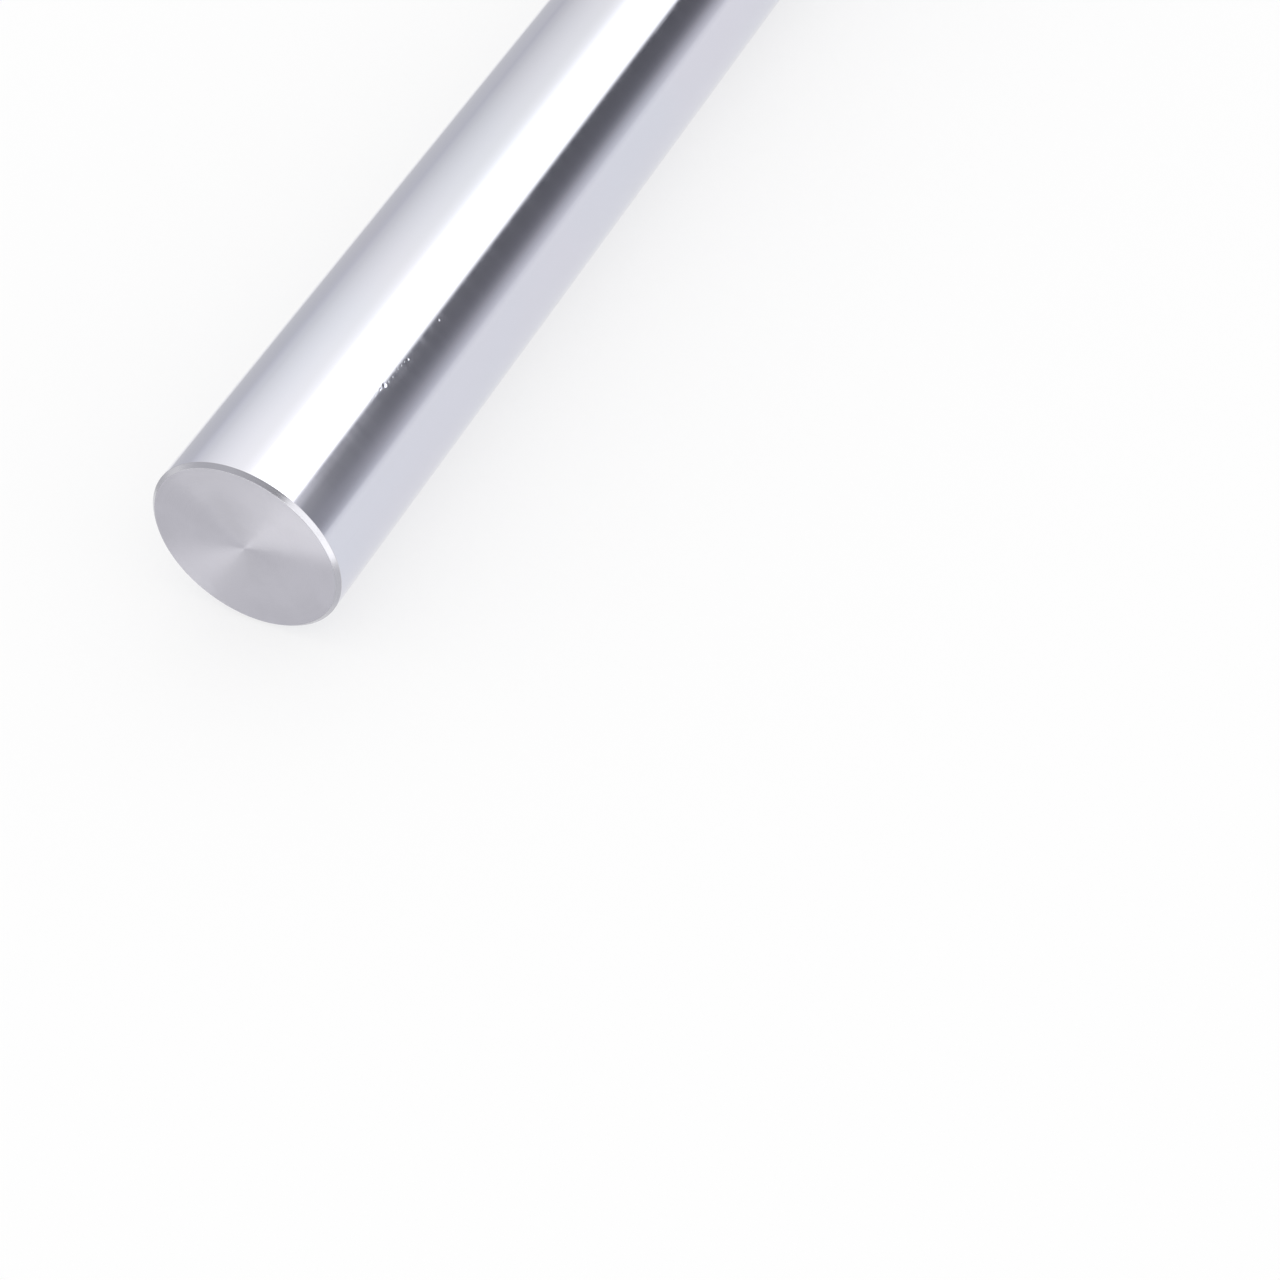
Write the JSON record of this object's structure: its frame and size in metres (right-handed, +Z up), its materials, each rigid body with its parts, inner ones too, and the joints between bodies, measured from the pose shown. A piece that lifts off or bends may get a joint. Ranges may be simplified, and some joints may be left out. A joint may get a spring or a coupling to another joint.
{
  "type": "round metal bar",
  "caption": "Solid round bar of bright ground steel, cut to length, with square-faced ends and a small chamfer at each; raw stock for shafts, pins, rails and turned parts.",
  "frame": {"origin": "on the plane the bar lies on, under the middle of its length", "axes": "+X along the bar's axis, towards the end away from the viewer; +Z up, from the line it rests on through the axis"},
  "size_m": [0.3, 0.025, 0.025],
  "materials": {
    "ground_steel": "polished"
  },
  "bodies": {
    "root": {"round_bar": "ground_steel"}
  },
  "joints": []
}
